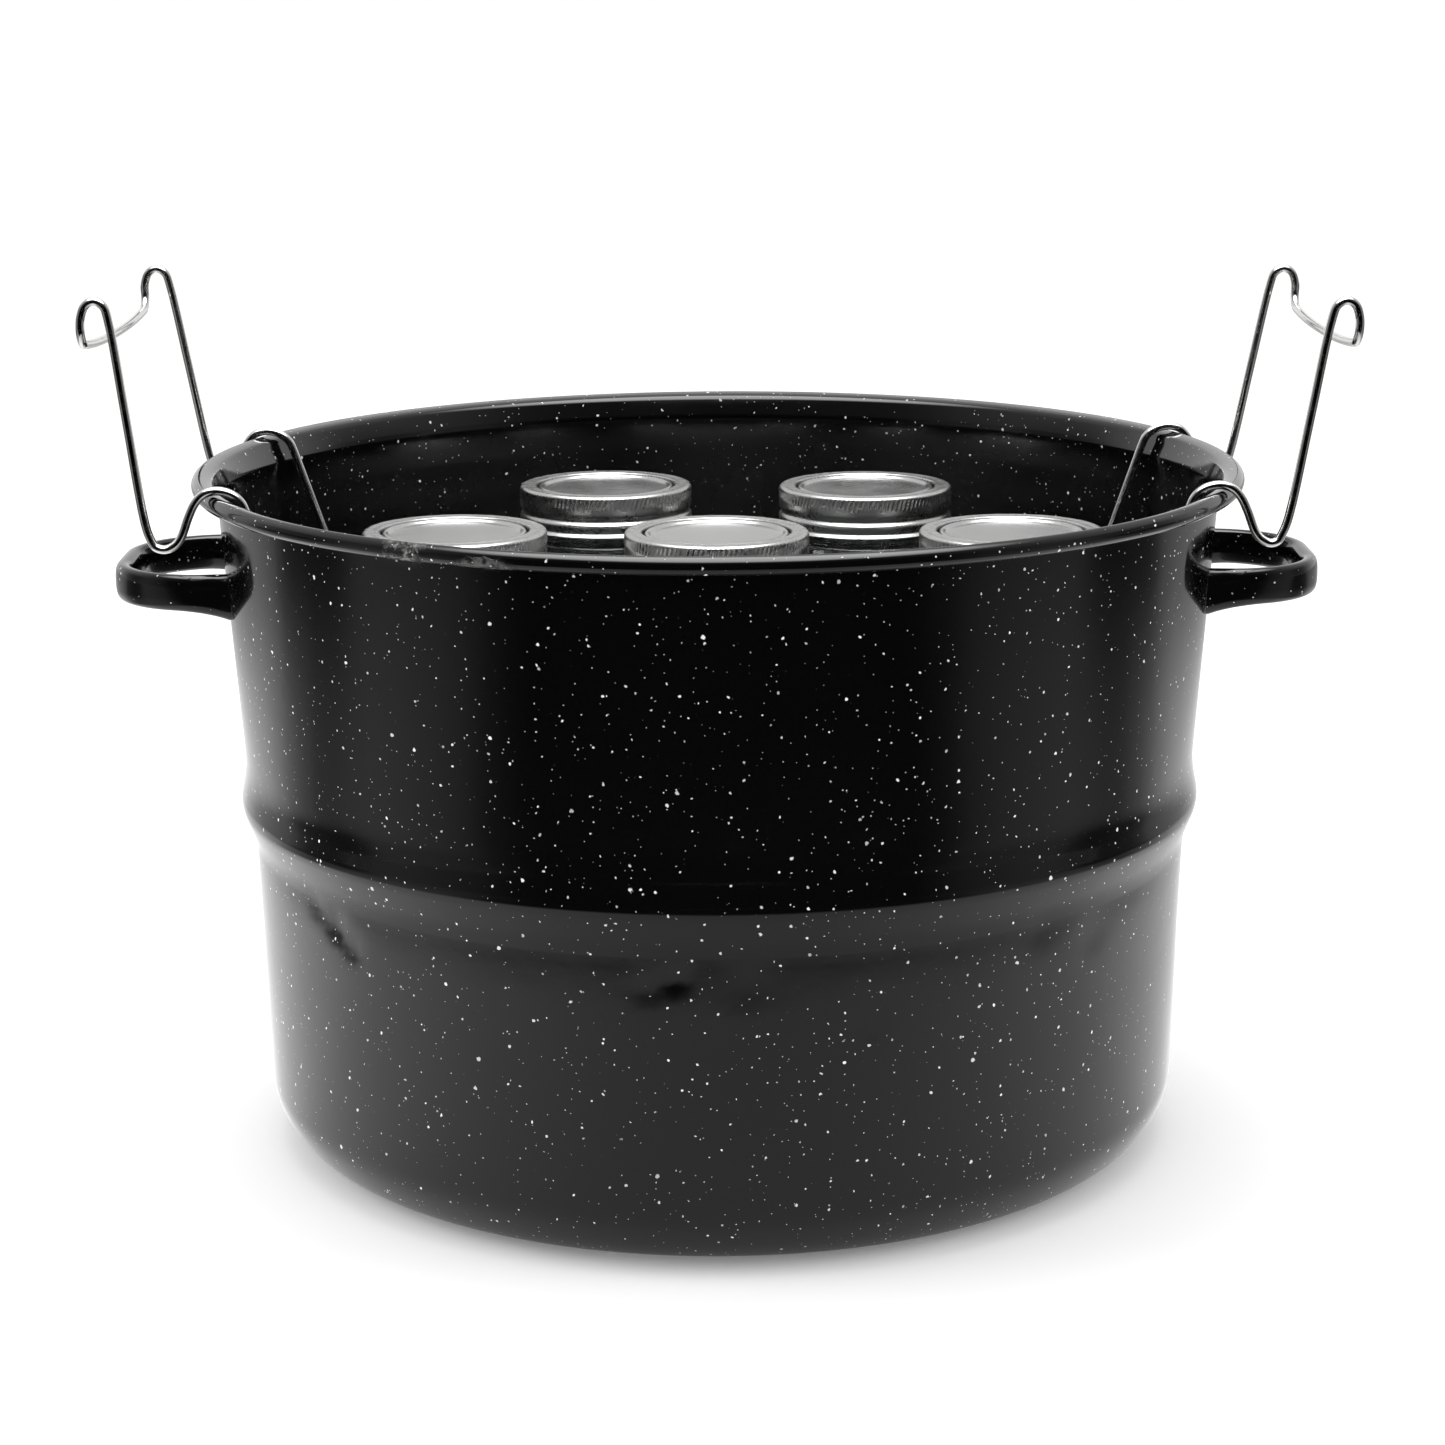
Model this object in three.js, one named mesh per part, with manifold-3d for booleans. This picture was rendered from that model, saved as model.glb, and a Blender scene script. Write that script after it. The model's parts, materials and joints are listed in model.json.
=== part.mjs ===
// Water-bath canning pot with its raised wire jar rack and seven quart jars.
// Millimetres, +Z up. Origin: centre of the flat underside of the pot.
// The pot handles and the rack bails lie along X (left is -X).
import * as THREE from 'three';
import * as BufferGeometryUtils from 'three/addons/utils/BufferGeometryUtils.js';
import Module from 'manifold-3d';

const wasm = await Module();
wasm.setup();

// ---------- driving dimensions ----------
const POT_HEIGHT = 271.7;        // underside to top of the rolled rim
const RIM_RADIUS = 207.5;        // outside of the rolled rim
const BEAD_RADIUS = 3.5;         // half height of the rolled rim
const SHEET = 1.2;               // enamelled steel sheet
const WALL_TOP_RADIUS = 197.6;   // outside of the wall under the rim
const BULGE_RADIUS = 192.1;      // stacking bulge half way up the wall
const BULGE_Z = 139.5;
const WAIST_RADIUS = 190.5;      // just above the bulge
const WAIST_Z = 154;
const LOWER_TOP_RADIUS = 186.1;  // below the bulge
const LOWER_BOTTOM_RADIUS = 184.0;
const BASE_CORNER = 28;          // rounded corner between wall and base
const HANDLE_Z = 228.2;          // pot handle mid height
const HANDLE_REACH = 239.6;      // outermost X of a pot handle
const HANDLE_HALF_WIDTH = 45.8;    // limb centre line, from X axis
const HANDLE_TALL = 15.0;
const HANDLE_THICK = 7.3;
const GAP = 0.3;                 // clearance between touching pieces
const WIRE = 1.7;                // rack wire radius
const RACK_Z = 69.5;             // centre of the rack's top wires
const SPOKE_Z = 65.8;            // centre of the spokes, one wire lower
const RING_RADII = { inner: 38, middle: 82, outer: 140 };
const GUARD_RADIUS = 172;
const GUARD_Z = 115;
const SPOKE_REACH = 168.2;
const SPOKE_TOP = 122;
const DIVIDER_IN = 85.7;
const DIVIDER_OUT = 135.4;
const DIVIDER_TOP = 130;
const DIVIDER_ANGLES = [28, 88, 150, 211.5, 270, 329]; // degrees, set between the jars
const HINGE_X = 106;             // hinge rods of the bails
const ROD_HALF = 85.2;
const BAIL_HALF = 76;            // bail strands at the hinge
const BAIL_GRIP_HALF = 66;       // bail strands at the top hook
const JAR_BASE_Z = 71.5;
const JAR_RADIUS = 47.5;
const JAR_GLASS_HEIGHT = 171.8;
const GLASS = 3.2;
const BAND_RADIUS = 36.75;
const LID_TOP_Z = 246.0;         // top of the metal closures
const JARS = {                   // jar centres on the rack
  1: [-0.6, -11], 2: [-104.9, -5.6], 3: [116.4, -12], 4: [-48.1, 104.5],
  5: [62.9, 98.8], 6: [-56, -97.5], 7: [50.8, -99.8],
};

// ---------- materials ----------
const enamel = new THREE.MeshStandardMaterial({ color: 0x0b0b0c, roughness: 0.16, metalness: 0.0 });
const plated = new THREE.MeshStandardMaterial({ color: 0xc9cacb, roughness: 0.22, metalness: 1.0 });
const glass = new THREE.MeshStandardMaterial({ color: 0xdfe8e6, roughness: 0.05, metalness: 0.0, transparent: true, opacity: 0.4 });
const tin = new THREE.MeshStandardMaterial({ color: 0xb9babb, roughness: 0.3, metalness: 1.0 });

// ---------- helpers ----------
const V2 = (x, y) => new THREE.Vector2(x, y);
const V3 = (x, y, z) => new THREE.Vector3(x, y, z);

// solid of revolution about Z from [radius, z] pairs
function revolve(profile, segments) {
  const g = new THREE.LatheGeometry(profile.map(([r, z]) => V2(r, z)), segments);
  g.rotateX(Math.PI / 2);
  return outward(g);
}

function volumeOf(g) {
  const p = g.attributes.position, ix = g.index;
  const n = ix ? ix.count : p.count;
  const a = V3(0, 0, 0), b = V3(0, 0, 0), c = V3(0, 0, 0);
  let v = 0;
  for (let i = 0; i < n; i += 3) {
    a.fromBufferAttribute(p, ix ? ix.getX(i) : i);
    b.fromBufferAttribute(p, ix ? ix.getX(i + 1) : i + 1);
    c.fromBufferAttribute(p, ix ? ix.getX(i + 2) : i + 2);
    v += a.dot(b.cross(c)) / 6;
  }
  return v;
}

// faces turned outwards, vertices shared, empty triangles dropped
function outward(g) {
  g.deleteAttribute('normal');
  if (g.attributes.uv) g.deleteAttribute('uv');
  const m = BufferGeometryUtils.mergeVertices(g, 1e-4);
  const src = m.index.array, out = [];
  const flip = volumeOf(m) < 0;
  for (let i = 0; i < src.length; i += 3) {
    const [a, b, c] = [src[i], src[i + 1], src[i + 2]];
    if (a === b || b === c || c === a) continue;
    if (flip) out.push(a, c, b); else out.push(a, b, c);
  }
  m.setIndex(out);
  m.computeVertexNormals();
  return m;
}

// a curve that visits exactly the given points
class PathThrough extends THREE.Curve {
  constructor(points) { super(); this.points = points; }
  getPoint(t) {
    const f = Math.min(Math.max(t, 0), 1) * (this.points.length - 1);
    const i = Math.min(Math.floor(f), this.points.length - 2);
    return this.points[i].clone().lerp(this.points[i + 1], f - i);
  }
  getPointAt(u) { return this.getPoint(u); }
  getSpacedPoints() { return this.points.map((p) => p.clone()); }
  getTangent(t) {
    const n = this.points.length - 1;
    const i = Math.round(Math.min(Math.max(t, 0), 1) * n);
    const d = V3(0, 0, 0);
    if (i < n) d.add(this.points[i + 1].clone().sub(this.points[i]).normalize());
    if (i > 0) d.add(this.points[i].clone().sub(this.points[i - 1]).normalize());
    return d.normalize();
  }
  getTangentAt(u) { return this.getTangent(u); }
}

// corner points rounded with arcs: [[point, radius], ...]
function rounded(corners, arcStep = 30) {
  const out = [];
  corners.forEach(([p, r], i) => {
    if (i === 0 || i === corners.length - 1 || !r) { out.push(p.clone()); return; }
    const a = corners[i - 1][0].clone().sub(p).normalize();
    const b = corners[i + 1][0].clone().sub(p).normalize();
    const ang = a.angleTo(b), turn = Math.PI - ang;
    const t = r / Math.tan(ang / 2);
    const bis = a.clone().add(b).normalize();
    const c = p.clone().add(bis.multiplyScalar(r / Math.sin(ang / 2)));
    const s = p.clone().add(a.multiplyScalar(t)).sub(c);
    const e = p.clone().add(b.multiplyScalar(t)).sub(c);
    const axis = s.clone().cross(e).normalize();
    const n = Math.max(2, Math.ceil(THREE.MathUtils.radToDeg(turn) / arcStep));
    for (let k = 0; k <= n; k++) out.push(s.clone().applyAxisAngle(axis, (turn * k) / n).add(c));
  });
  return out;
}

function roundShape(radius, sides) {
  const s = new THREE.Shape();
  for (let k = 0; k < sides; k++) {
    const a = (2 * Math.PI * (k + 0.5)) / sides;
    if (k === 0) s.moveTo(radius * Math.cos(a), radius * Math.sin(a));
    else s.lineTo(radius * Math.cos(a), radius * Math.sin(a));
  }
  s.closePath();
  return s;
}

function sweep(shape, points) {
  return outward(new THREE.ExtrudeGeometry(shape, {
    steps: points.length - 1, bevelEnabled: false, extrudePath: new PathThrough(points), curveSegments: 4,
  }));
}

const wire = (points, sides = 6) => sweep(roundShape(WIRE, sides), points);

function toManifold(g) {
  return new wasm.Manifold(new wasm.Mesh({
    numProp: 3,
    vertProperties: new Float32Array(g.attributes.position.array),
    triVerts: new Uint32Array(g.index.array),
  }));
}

function fromManifold(m) {
  const mesh = m.getMesh();
  const g = new THREE.BufferGeometry();
  const n = mesh.vertProperties.length / mesh.numProp;
  const p = new Float32Array(n * 3);
  for (let i = 0; i < n; i++) for (let k = 0; k < 3; k++) p[i * 3 + k] = mesh.vertProperties[i * mesh.numProp + k];
  g.setAttribute('position', new THREE.BufferAttribute(p, 3));
  g.setIndex(Array.from(mesh.triVerts));
  g.computeVertexNormals();
  return g;
}

const canner = new THREE.Group();
function add(parent, name, geometry, material) {
  const m = new THREE.Mesh(geometry, material);
  m.name = name;
  parent.add(m);
  return m;
}

// ---------- pot ----------
// outer skin of the pot from the base up to the underside of the rim flare
function outerSkin(offset) {
  const p = [];
  const cr = LOWER_BOTTOM_RADIUS - BASE_CORNER;
  p.push([cr, -offset]);
  for (let a = -67.5; a <= 0; a += 22.5) {
    const t = THREE.MathUtils.degToRad(a);
    p.push([cr + (BASE_CORNER + offset) * Math.cos(t), BASE_CORNER + (BASE_CORNER + offset) * Math.sin(t)]);
  }
  p.push([LOWER_TOP_RADIUS - 0.9 + offset, 90]);
  p.push([LOWER_TOP_RADIUS + offset, 116]);
  p.push([LOWER_TOP_RADIUS + 0.9 + offset, 122.5 - offset]);
  p.push([BULGE_RADIUS - 0.6 + offset, BULGE_Z - 3.2]);
  p.push([BULGE_RADIUS + offset, BULGE_Z]);
  p.push([BULGE_RADIUS - 0.5 + offset, BULGE_Z + 4]);
  p.push([WAIST_RADIUS + offset, WAIST_Z]);
  p.push([WALL_TOP_RADIUS + offset, 263.5]);
  return p;
}

function potProfile() {
  const outer = outerSkin(0);
  const top = POT_HEIGHT - BEAD_RADIUS;        // bead centre height
  const bc = RIM_RADIUS - BEAD_RADIUS;         // bead centre radius
  // flare into the bead and round its outside
  const bead = [[WALL_TOP_RADIUS + 1.6, top - 2.6]];
  for (const a of [-115, -78, -40, 0, 45, 90, 125]) {
    const t = THREE.MathUtils.degToRad(a);
    bead.push([bc + BEAD_RADIUS * Math.cos(t), top + BEAD_RADIUS * Math.sin(t)]);
  }
  bead.push([bc - BEAD_RADIUS - 1.2, POT_HEIGHT - 2.6]);
  const inner = outer.map(([r, z], i) => (i === 0 ? [r, SHEET] : [r - SHEET, z])).reverse();
  // the inside corner keeps the sheet thickness
  const cr = LOWER_BOTTOM_RADIUS - BASE_CORNER;
  const innerFixed = inner.filter(([, z]) => z > BASE_CORNER + 1);
  for (let a = 0; a >= -90; a -= 22.5) {
    const t = THREE.MathUtils.degToRad(a);
    innerFixed.push([cr + (BASE_CORNER - SHEET) * Math.cos(t), BASE_CORNER + (BASE_CORNER - SHEET) * Math.sin(t)]);
  }
  return [[0, 0], ...outer, ...bead, ...innerFixed, [0, SHEET]];
}
add(canner, 'pot_body', revolve(potProfile(), 48), enamel);

// clearance body round the pot, used to trim the handle feet
const potEnvelope = toManifold(revolve([[0, -1], ...outerSkin(GAP), [WALL_TOP_RADIUS + GAP, 300], [0, 300]], 224));

// one welded loop handle: a convex strap bent into a D with two spread feet
function handleGeometry(side) {
  const h = HANDLE_TALL / 2, t = HANDLE_THICK / 2;
  const s = new THREE.Shape();
  s.moveTo(-h, -t * 0.4);
  s.lineTo(-h + 1.6, -t);
  s.lineTo(h - 1.6, -t);
  s.lineTo(h, -t * 0.4);
  s.lineTo(h - 1.4, t * 0.45);
  s.lineTo(h * 0.42, t);
  s.lineTo(-h * 0.42, t);
  s.lineTo(-h + 1.4, t * 0.45);
  s.closePath();
  const xo = HANDLE_REACH - t;
  const path = rounded([
    [V3(186, -HANDLE_HALF_WIDTH, HANDLE_Z), 0],
    [V3(xo, -HANDLE_HALF_WIDTH, HANDLE_Z), 27],
    [V3(xo, HANDLE_HALF_WIDTH, HANDLE_Z), 27],
    [V3(186, HANDLE_HALF_WIDTH, HANDLE_Z), 0],
  ], 15);
  let solid = toManifold(sweep(s, path));
  for (const y of [-1, 1]) {
    // spread foot: the strap grows taller and thicker where it meets the wall
    const foot = new THREE.CylinderGeometry(5.4, 9.8, 22, 12);
    foot.rotateZ(-Math.PI / 2);
    foot.scale(1, 0.62, 1);
    foot.translate(197, y * HANDLE_HALF_WIDTH, HANDLE_Z);
    solid = solid.add(toManifold(outward(foot)));
  }
  const g = fromManifold(solid.subtract(potEnvelope));
  if (side < 0) g.rotateZ(Math.PI);
  return g;
}
add(canner, 'pot_handle_left', handleGeometry(-1), enamel);
add(canner, 'pot_handle_right', handleGeometry(1), enamel);

// ---------- rack ----------
const rack = new THREE.Group();
canner.add(rack);

function ring(radius, z, segments) {
  const g = new THREE.TorusGeometry(radius, WIRE, 6, segments);
  g.translate(0, 0, z);
  return outward(g);
}
add(rack, 'rack_ring_inner', ring(RING_RADII.inner, RACK_Z, 24), plated);
add(rack, 'rack_ring_middle', ring(RING_RADII.middle, RACK_Z, 36), plated);
add(rack, 'rack_ring_outer', ring(RING_RADII.outer, RACK_Z, 48), plated);
add(rack, 'rack_guard_ring', ring(GUARD_RADIUS, GUARD_Z, 48), plated);

for (const side of [-1, 1]) {
  const rod = new THREE.CylinderGeometry(WIRE, WIRE, 2 * ROD_HALF, 8);
  // the cylinder's own axis is Y, which is the hinge axis
  rod.translate(side * HINGE_X, 0, RACK_Z);
  add(rack, side < 0 ? 'rack_hinge_rod_left' : 'rack_hinge_rod_right', outward(rod), plated);
}

for (let k = 0; k < 6; k++) {
  const spoke = wire(rounded([
    [V3(18, 0, SPOKE_Z), 0],
    [V3(SPOKE_REACH, 0, SPOKE_Z), 6],
    [V3(SPOKE_REACH, 0, SPOKE_TOP), 0],
  ], 30));
  const m = add(rack, `rack_spoke_${k + 1}`, spoke, plated);
  m.rotation.z = THREE.MathUtils.degToRad(60 * k);
  const divider = wire(rounded([
    [V3(DIVIDER_IN, 0, RACK_Z - 4), 0],
    [V3(DIVIDER_IN, 0, DIVIDER_TOP), 13],
    [V3(DIVIDER_OUT, 0, DIVIDER_TOP), 13],
    [V3(DIVIDER_OUT, 0, RACK_Z - 4), 0],
  ], 30));
  const d = add(rack, `rack_divider_${k + 1}`, divider, plated);
  d.rotation.z = THREE.MathUtils.degToRad(DIVIDER_ANGLES[k]);
}

// ---------- bails ----------
// half of a bail strand seen from the side: [outward X, Z, strand Y]
const STRAND = [
  [178.0, 265.8], [179.7, 269.5], [183.8, 272.9], [189.4, 273.95], [194.0, 272.6],
  [197.2, 269.0], [199.8, 263.6], [202.8, 255.9], [205.4, 252.8], [209.2, 251.4],
  [212.8, 252.4], [214.8, 255.6], [216.6, 261.4], [222.4, 300.0], [228.0, 337.0],
  [229.4, 341.2], [232.6, 343.2], [236.2, 341.6], [238.2, 336.8], [238.4, 332.0],
];
function strandY(z, tailStart) {
  // straight to the valley, then closing in towards the grip
  const f = Math.min(Math.max((z - 253) / (338 - 253), 0), 1);
  return BAIL_HALF + (BAIL_GRIP_HALF - BAIL_HALF) * (tailStart ? f : 0);
}
function bailGeometry(side) {
  const half = [];
  // eye round the hinge rod
  const eye = WIRE + GAP + WIRE + 0.25;
  for (let a = -290; a <= -20; a += 33.75) {
    const t = THREE.MathUtils.degToRad(a);
    half.push(V3(HINGE_X + eye * Math.cos(t), BAIL_HALF, RACK_Z + eye * Math.sin(t)));
  }
  STRAND.forEach(([x, z], i) => half.push(V3(x, strandY(z, i > 9), z)));
  // round into the cross grip
  half.push(V3(238.4, BAIL_GRIP_HALF - 0.9, 329.0));
  half.push(V3(238.4, BAIL_GRIP_HALF - 4.0, 326.8));
  half.push(V3(238.4, 35, 324.6));
  const other = half.map((p) => V3(p.x, -p.y, p.z)).reverse();
  const g = wire([...half, V3(238.4, 0, 324.0), ...other], 6);
  if (side < 0) g.rotateZ(Math.PI);
  return g;
}
add(canner, 'bail_left', bailGeometry(-1), plated);
add(canner, 'bail_right', bailGeometry(1), plated);

// ---------- jars ----------
function jarProfile() {
  const z0 = JAR_BASE_Z, R = JAR_RADIUS, top = z0 + JAR_GLASS_HEIGHT;
  const outer = [
    [0, z0 + 2], [36, z0 + 2], [38.5, z0], [41.5, z0], [45.4, z0 + 2.4], [R, z0 + 8],
    [R, z0 + 112], [45.8, z0 + 122], [38.5, z0 + 139], [34.6, z0 + 150],
    [33.8, top - 1.2], [32.6, top],
  ];
  const inner = [
    [30.4, top], [30.6, z0 + 151], [35.2, z0 + 137], [R - GLASS, z0 + 111],
    [R - GLASS, z0 + 12], [41, z0 + 6], [0, z0 + 5],
  ];
  return [...outer, ...inner];
}
function lidProfile() {
  // flat disc with a raised ring, resting just above the glass lip
  const t = LID_TOP_Z;
  return [
    [0, t - 2.2], [26.4, t - 2.2], [28.8, t - 2.6], [33.9, t - 2.6], [33.9, t - 1.9], [28.8, t - 1.9],
    [27.8, t - 0.7], [26.4, t - 1.6], [0, t - 1.6],
  ];
}
function bandProfile() {
  // screw band: inward top flange, grooved skirt, flared lower edge
  const t = LID_TOP_Z, R = BAND_RADIUS;
  return [
    [29.7, t - 0.4], [31, t], [35.4, t], [R, t - 1.2], [R, t - 8.8], [R - 1.2, t - 10.4], [R - 0.1, t - 12.6],
    [R - 0.8, t - 15.6], [37.7, t - 17.5], [35.4, t - 17.5],
    [34.9, t - 1.4], [29.7, t - 1.4],
  ];
}
for (const [key, [x, y]] of Object.entries(JARS)) {
  const jar = new THREE.Group();
  jar.position.set(x, y, 0);
  canner.add(jar);
  add(jar, `jar_${key}_glass`, revolve(jarProfile(), 16), glass);
  add(jar, `jar_${key}_lid`, revolve(lidProfile(), 16), tin);
  const band = revolve(closed(bandProfile()), 16);
  add(jar, `jar_${key}_band`, band, tin);
}
function closed(profile) { return [...profile, profile[0]]; }

export default canner;
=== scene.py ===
import json
import math

import bpy
import numpy as np
from mathutils import Euler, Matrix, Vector

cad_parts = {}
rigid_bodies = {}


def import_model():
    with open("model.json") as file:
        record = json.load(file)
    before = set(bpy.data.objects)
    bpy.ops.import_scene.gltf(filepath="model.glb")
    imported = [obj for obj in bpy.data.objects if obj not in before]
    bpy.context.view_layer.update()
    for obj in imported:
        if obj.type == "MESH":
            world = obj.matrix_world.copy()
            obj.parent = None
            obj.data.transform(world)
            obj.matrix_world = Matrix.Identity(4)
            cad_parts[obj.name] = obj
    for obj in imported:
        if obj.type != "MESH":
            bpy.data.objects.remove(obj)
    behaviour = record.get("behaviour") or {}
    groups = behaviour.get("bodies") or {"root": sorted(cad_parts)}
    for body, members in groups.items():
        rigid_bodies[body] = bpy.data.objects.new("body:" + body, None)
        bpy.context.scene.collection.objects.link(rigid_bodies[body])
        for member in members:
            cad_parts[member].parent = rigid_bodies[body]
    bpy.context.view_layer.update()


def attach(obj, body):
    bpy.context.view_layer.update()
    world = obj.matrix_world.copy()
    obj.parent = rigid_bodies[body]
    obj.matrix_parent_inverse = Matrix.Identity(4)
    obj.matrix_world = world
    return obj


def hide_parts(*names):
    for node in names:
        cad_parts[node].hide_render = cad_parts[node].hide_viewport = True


for _o in list(bpy.data.objects):
    bpy.data.objects.remove(_o, do_unlink=True)

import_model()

RNG = np.random.default_rng(438)

# ------------------------------------------------------------------ sizes (mm)
H = 271.7
BEAD_R, BEAD_Z, BEAD = 204.0, 268.2, 3.5
SHEET = 1.3
WIRE = 1.7
RACK_Z, SPOKE_Z = 69.5, 65.8
HINGE_X = 106.0
BAIL_HALF, GRIP_HALF = 76.0, 66.0
JAR_Z = 71.5
LID_Z = 246.0
JARS = {1: (-0.6, -11), 2: (-104.9, -5.6), 3: (116.4, -12), 4: (-48.1, 104.5),
        5: (62.9, 98.8), 6: (-56, -97.5), 7: (50.8, -99.8)}
DIVIDERS = (28, 88, 150, 211.5, 270, 329)
GUARD_R, SPOKE_R = 172.0, 168.2


# ------------------------------------------------------------------ mesh tools
def add(name, verts, faces, mat, body, nodes=(), sharp=38.0, mats=None, face_mats=None):
    me = bpy.data.meshes.new(name)
    v = np.asarray(verts, float) / 1000.0
    me.from_pydata(v.tolist(), [], [tuple(int(i) for i in f) for f in faces])
    me.validate(clean_customdata=False)
    me.update()
    me.shade_smooth()
    me.set_sharp_from_angle(angle=math.radians(sharp))
    ob = bpy.data.objects.new(name, me)
    bpy.context.scene.collection.objects.link(ob)
    for m in (mats or [mat]):
        me.materials.append(m)
    if face_mats is not None:
        me.polygons.foreach_set("material_index", np.asarray(face_mats, np.int32))
    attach(ob, body)
    if nodes:
        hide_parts(*nodes)
    return ob


def join(parts):
    """[(verts, faces), ...] -> one (verts, faces)."""
    vs, fs, n = [], [], 0
    for v, f in parts:
        v = np.asarray(v, float)
        vs.append(v)
        fs += [tuple(i + n for i in t) for t in f]
        n += len(v)
    return np.vstack(vs), fs


def lathe(profile, n=128, closed=False, centre=(0.0, 0.0), phase=0.0, radial=None):
    """Solid of revolution about Z; radial(angle, r, z) may change the radius."""
    verts, faces, rows = [], [], []
    ang = phase + np.arange(n) * 2 * math.pi / n
    ca, sa = np.cos(ang), np.sin(ang)
    count = 0
    for r, z in profile:
        if r < 1e-6:
            verts.append(np.array([[centre[0], centre[1], z]]))
            rows.append([count])
            count += 1
        else:
            rr = np.full(n, r) if radial is None else radial(ang, r, z)
            verts.append(np.stack([centre[0] + rr * ca, centre[1] + rr * sa, np.full(n, z)], 1))
            rows.append(list(range(count, count + n)))
            count += n
    pairs = list(zip(rows, rows[1:]))
    if closed:
        pairs.append((rows[-1], rows[0]))
    for a, b in pairs:
        if len(a) == 1 and len(b) == 1:
            continue
        for i in range(n):
            j = (i + 1) % n
            if len(a) == 1:
                faces.append((a[0], b[j], b[i]))
            elif len(b) == 1:
                faces.append((a[i], a[j], b[0]))
            else:
                faces.append((a[i], a[j], b[j], b[i]))
    return np.vstack(verts), faces


def fillet(corners, step=12.0):
    """Polyline with rounded corners: [(point, radius), ...] in 2-D or 3-D."""
    pts = [np.asarray(p, float) for p, _ in corners]
    rad = [r for _, r in corners]
    out = []
    for i, p in enumerate(pts):
        r = rad[i]
        if i in (0, len(pts) - 1) or not r:
            out.append(p)
            continue
        a = pts[i - 1] - p
        b = pts[i + 1] - p
        la, lb = np.linalg.norm(a), np.linalg.norm(b)
        a, b = a / la, b / lb
        cosang = float(np.clip(a @ b, -1, 1))
        ang = math.acos(cosang)
        if math.pi - ang < 1e-3:
            out.append(p)
            continue
        t = min(r / math.tan(ang / 2), 0.49 * la if i > 1 else la, 0.49 * lb if i < len(pts) - 2 else lb)
        rr = t * math.tan(ang / 2)
        bis = (a + b) / np.linalg.norm(a + b)
        c = p + bis * rr / math.sin(ang / 2)
        s, e = p + a * t - c, p + b * t - c
        turn = math.pi - ang
        n = max(2, int(math.ceil(math.degrees(turn) / step)))
        for k in range(n + 1):
            f = k / n
            w0 = math.sin((1 - f) * turn) / math.sin(turn)
            w1 = math.sin(f * turn) / math.sin(turn)
            out.append(c + s * w0 + e * w1)
    return np.array(out)


def catmull(points, sub=6):
    p = np.asarray(points, float)
    q = np.vstack([2 * p[0] - p[1], p, 2 * p[-1] - p[-2]])
    out = []
    for i in range(1, len(q) - 2):
        p0, p1, p2, p3 = q[i - 1], q[i], q[i + 1], q[i + 2]
        t0 = 0.0
        t1 = t0 + np.linalg.norm(p1 - p0) ** 0.5
        t2 = t1 + np.linalg.norm(p2 - p1) ** 0.5
        t3 = t2 + np.linalg.norm(p3 - p2) ** 0.5
        for k in range(sub):
            t = t1 + (t2 - t1) * k / sub
            a1 = (t1 - t) / (t1 - t0) * p0 + (t - t0) / (t1 - t0) * p1
            a2 = (t2 - t) / (t2 - t1) * p1 + (t - t1) / (t2 - t1) * p2
            a3 = (t3 - t) / (t3 - t2) * p2 + (t - t2) / (t3 - t2) * p3
            b1 = (t2 - t) / (t2 - t0) * a1 + (t - t0) / (t2 - t0) * a2
            b2 = (t3 - t) / (t3 - t1) * a2 + (t - t1) / (t3 - t1) * a3
            out.append((t2 - t) / (t2 - t1) * b1 + (t - t1) / (t2 - t1) * b2)
    out.append(p[-1])
    return np.array(out)


def frames(p, closed=False, up=None):
    n = len(p)
    if closed:
        d = np.roll(p, -1, 0) - np.roll(p, 1, 0)
    else:
        d = np.gradient(p, axis=0)
    t = d / np.linalg.norm(d, axis=1)[:, None]
    if up is not None:
        u = np.tile(np.asarray(up, float), (n, 1))
        s = np.cross(t, u)
        s /= np.linalg.norm(s, axis=1)[:, None]
        return t, s, np.cross(s, t)
    a = np.array([0.0, 0, 1]) if abs(t[0][2]) < 0.9 else np.array([1.0, 0, 0])
    s = np.cross(t[0], a)
    s /= np.linalg.norm(s)
    ss = [s]
    for i in range(1, n):
        v = np.cross(t[i - 1], t[i])
        c = float(np.clip(t[i - 1] @ t[i], -1, 1))
        l = np.linalg.norm(v)
        if l > 1e-9:
            k = v / l
            th = math.atan2(l, c)
            s = s * math.cos(th) + np.cross(k, s) * math.sin(th) + k * (k @ s) * (1 - math.cos(th))
        s = s - t[i] * (s @ t[i])
        s /= np.linalg.norm(s)
        ss.append(s)
    ss = np.array(ss)
    return t, ss, np.cross(ss, t)


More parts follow.
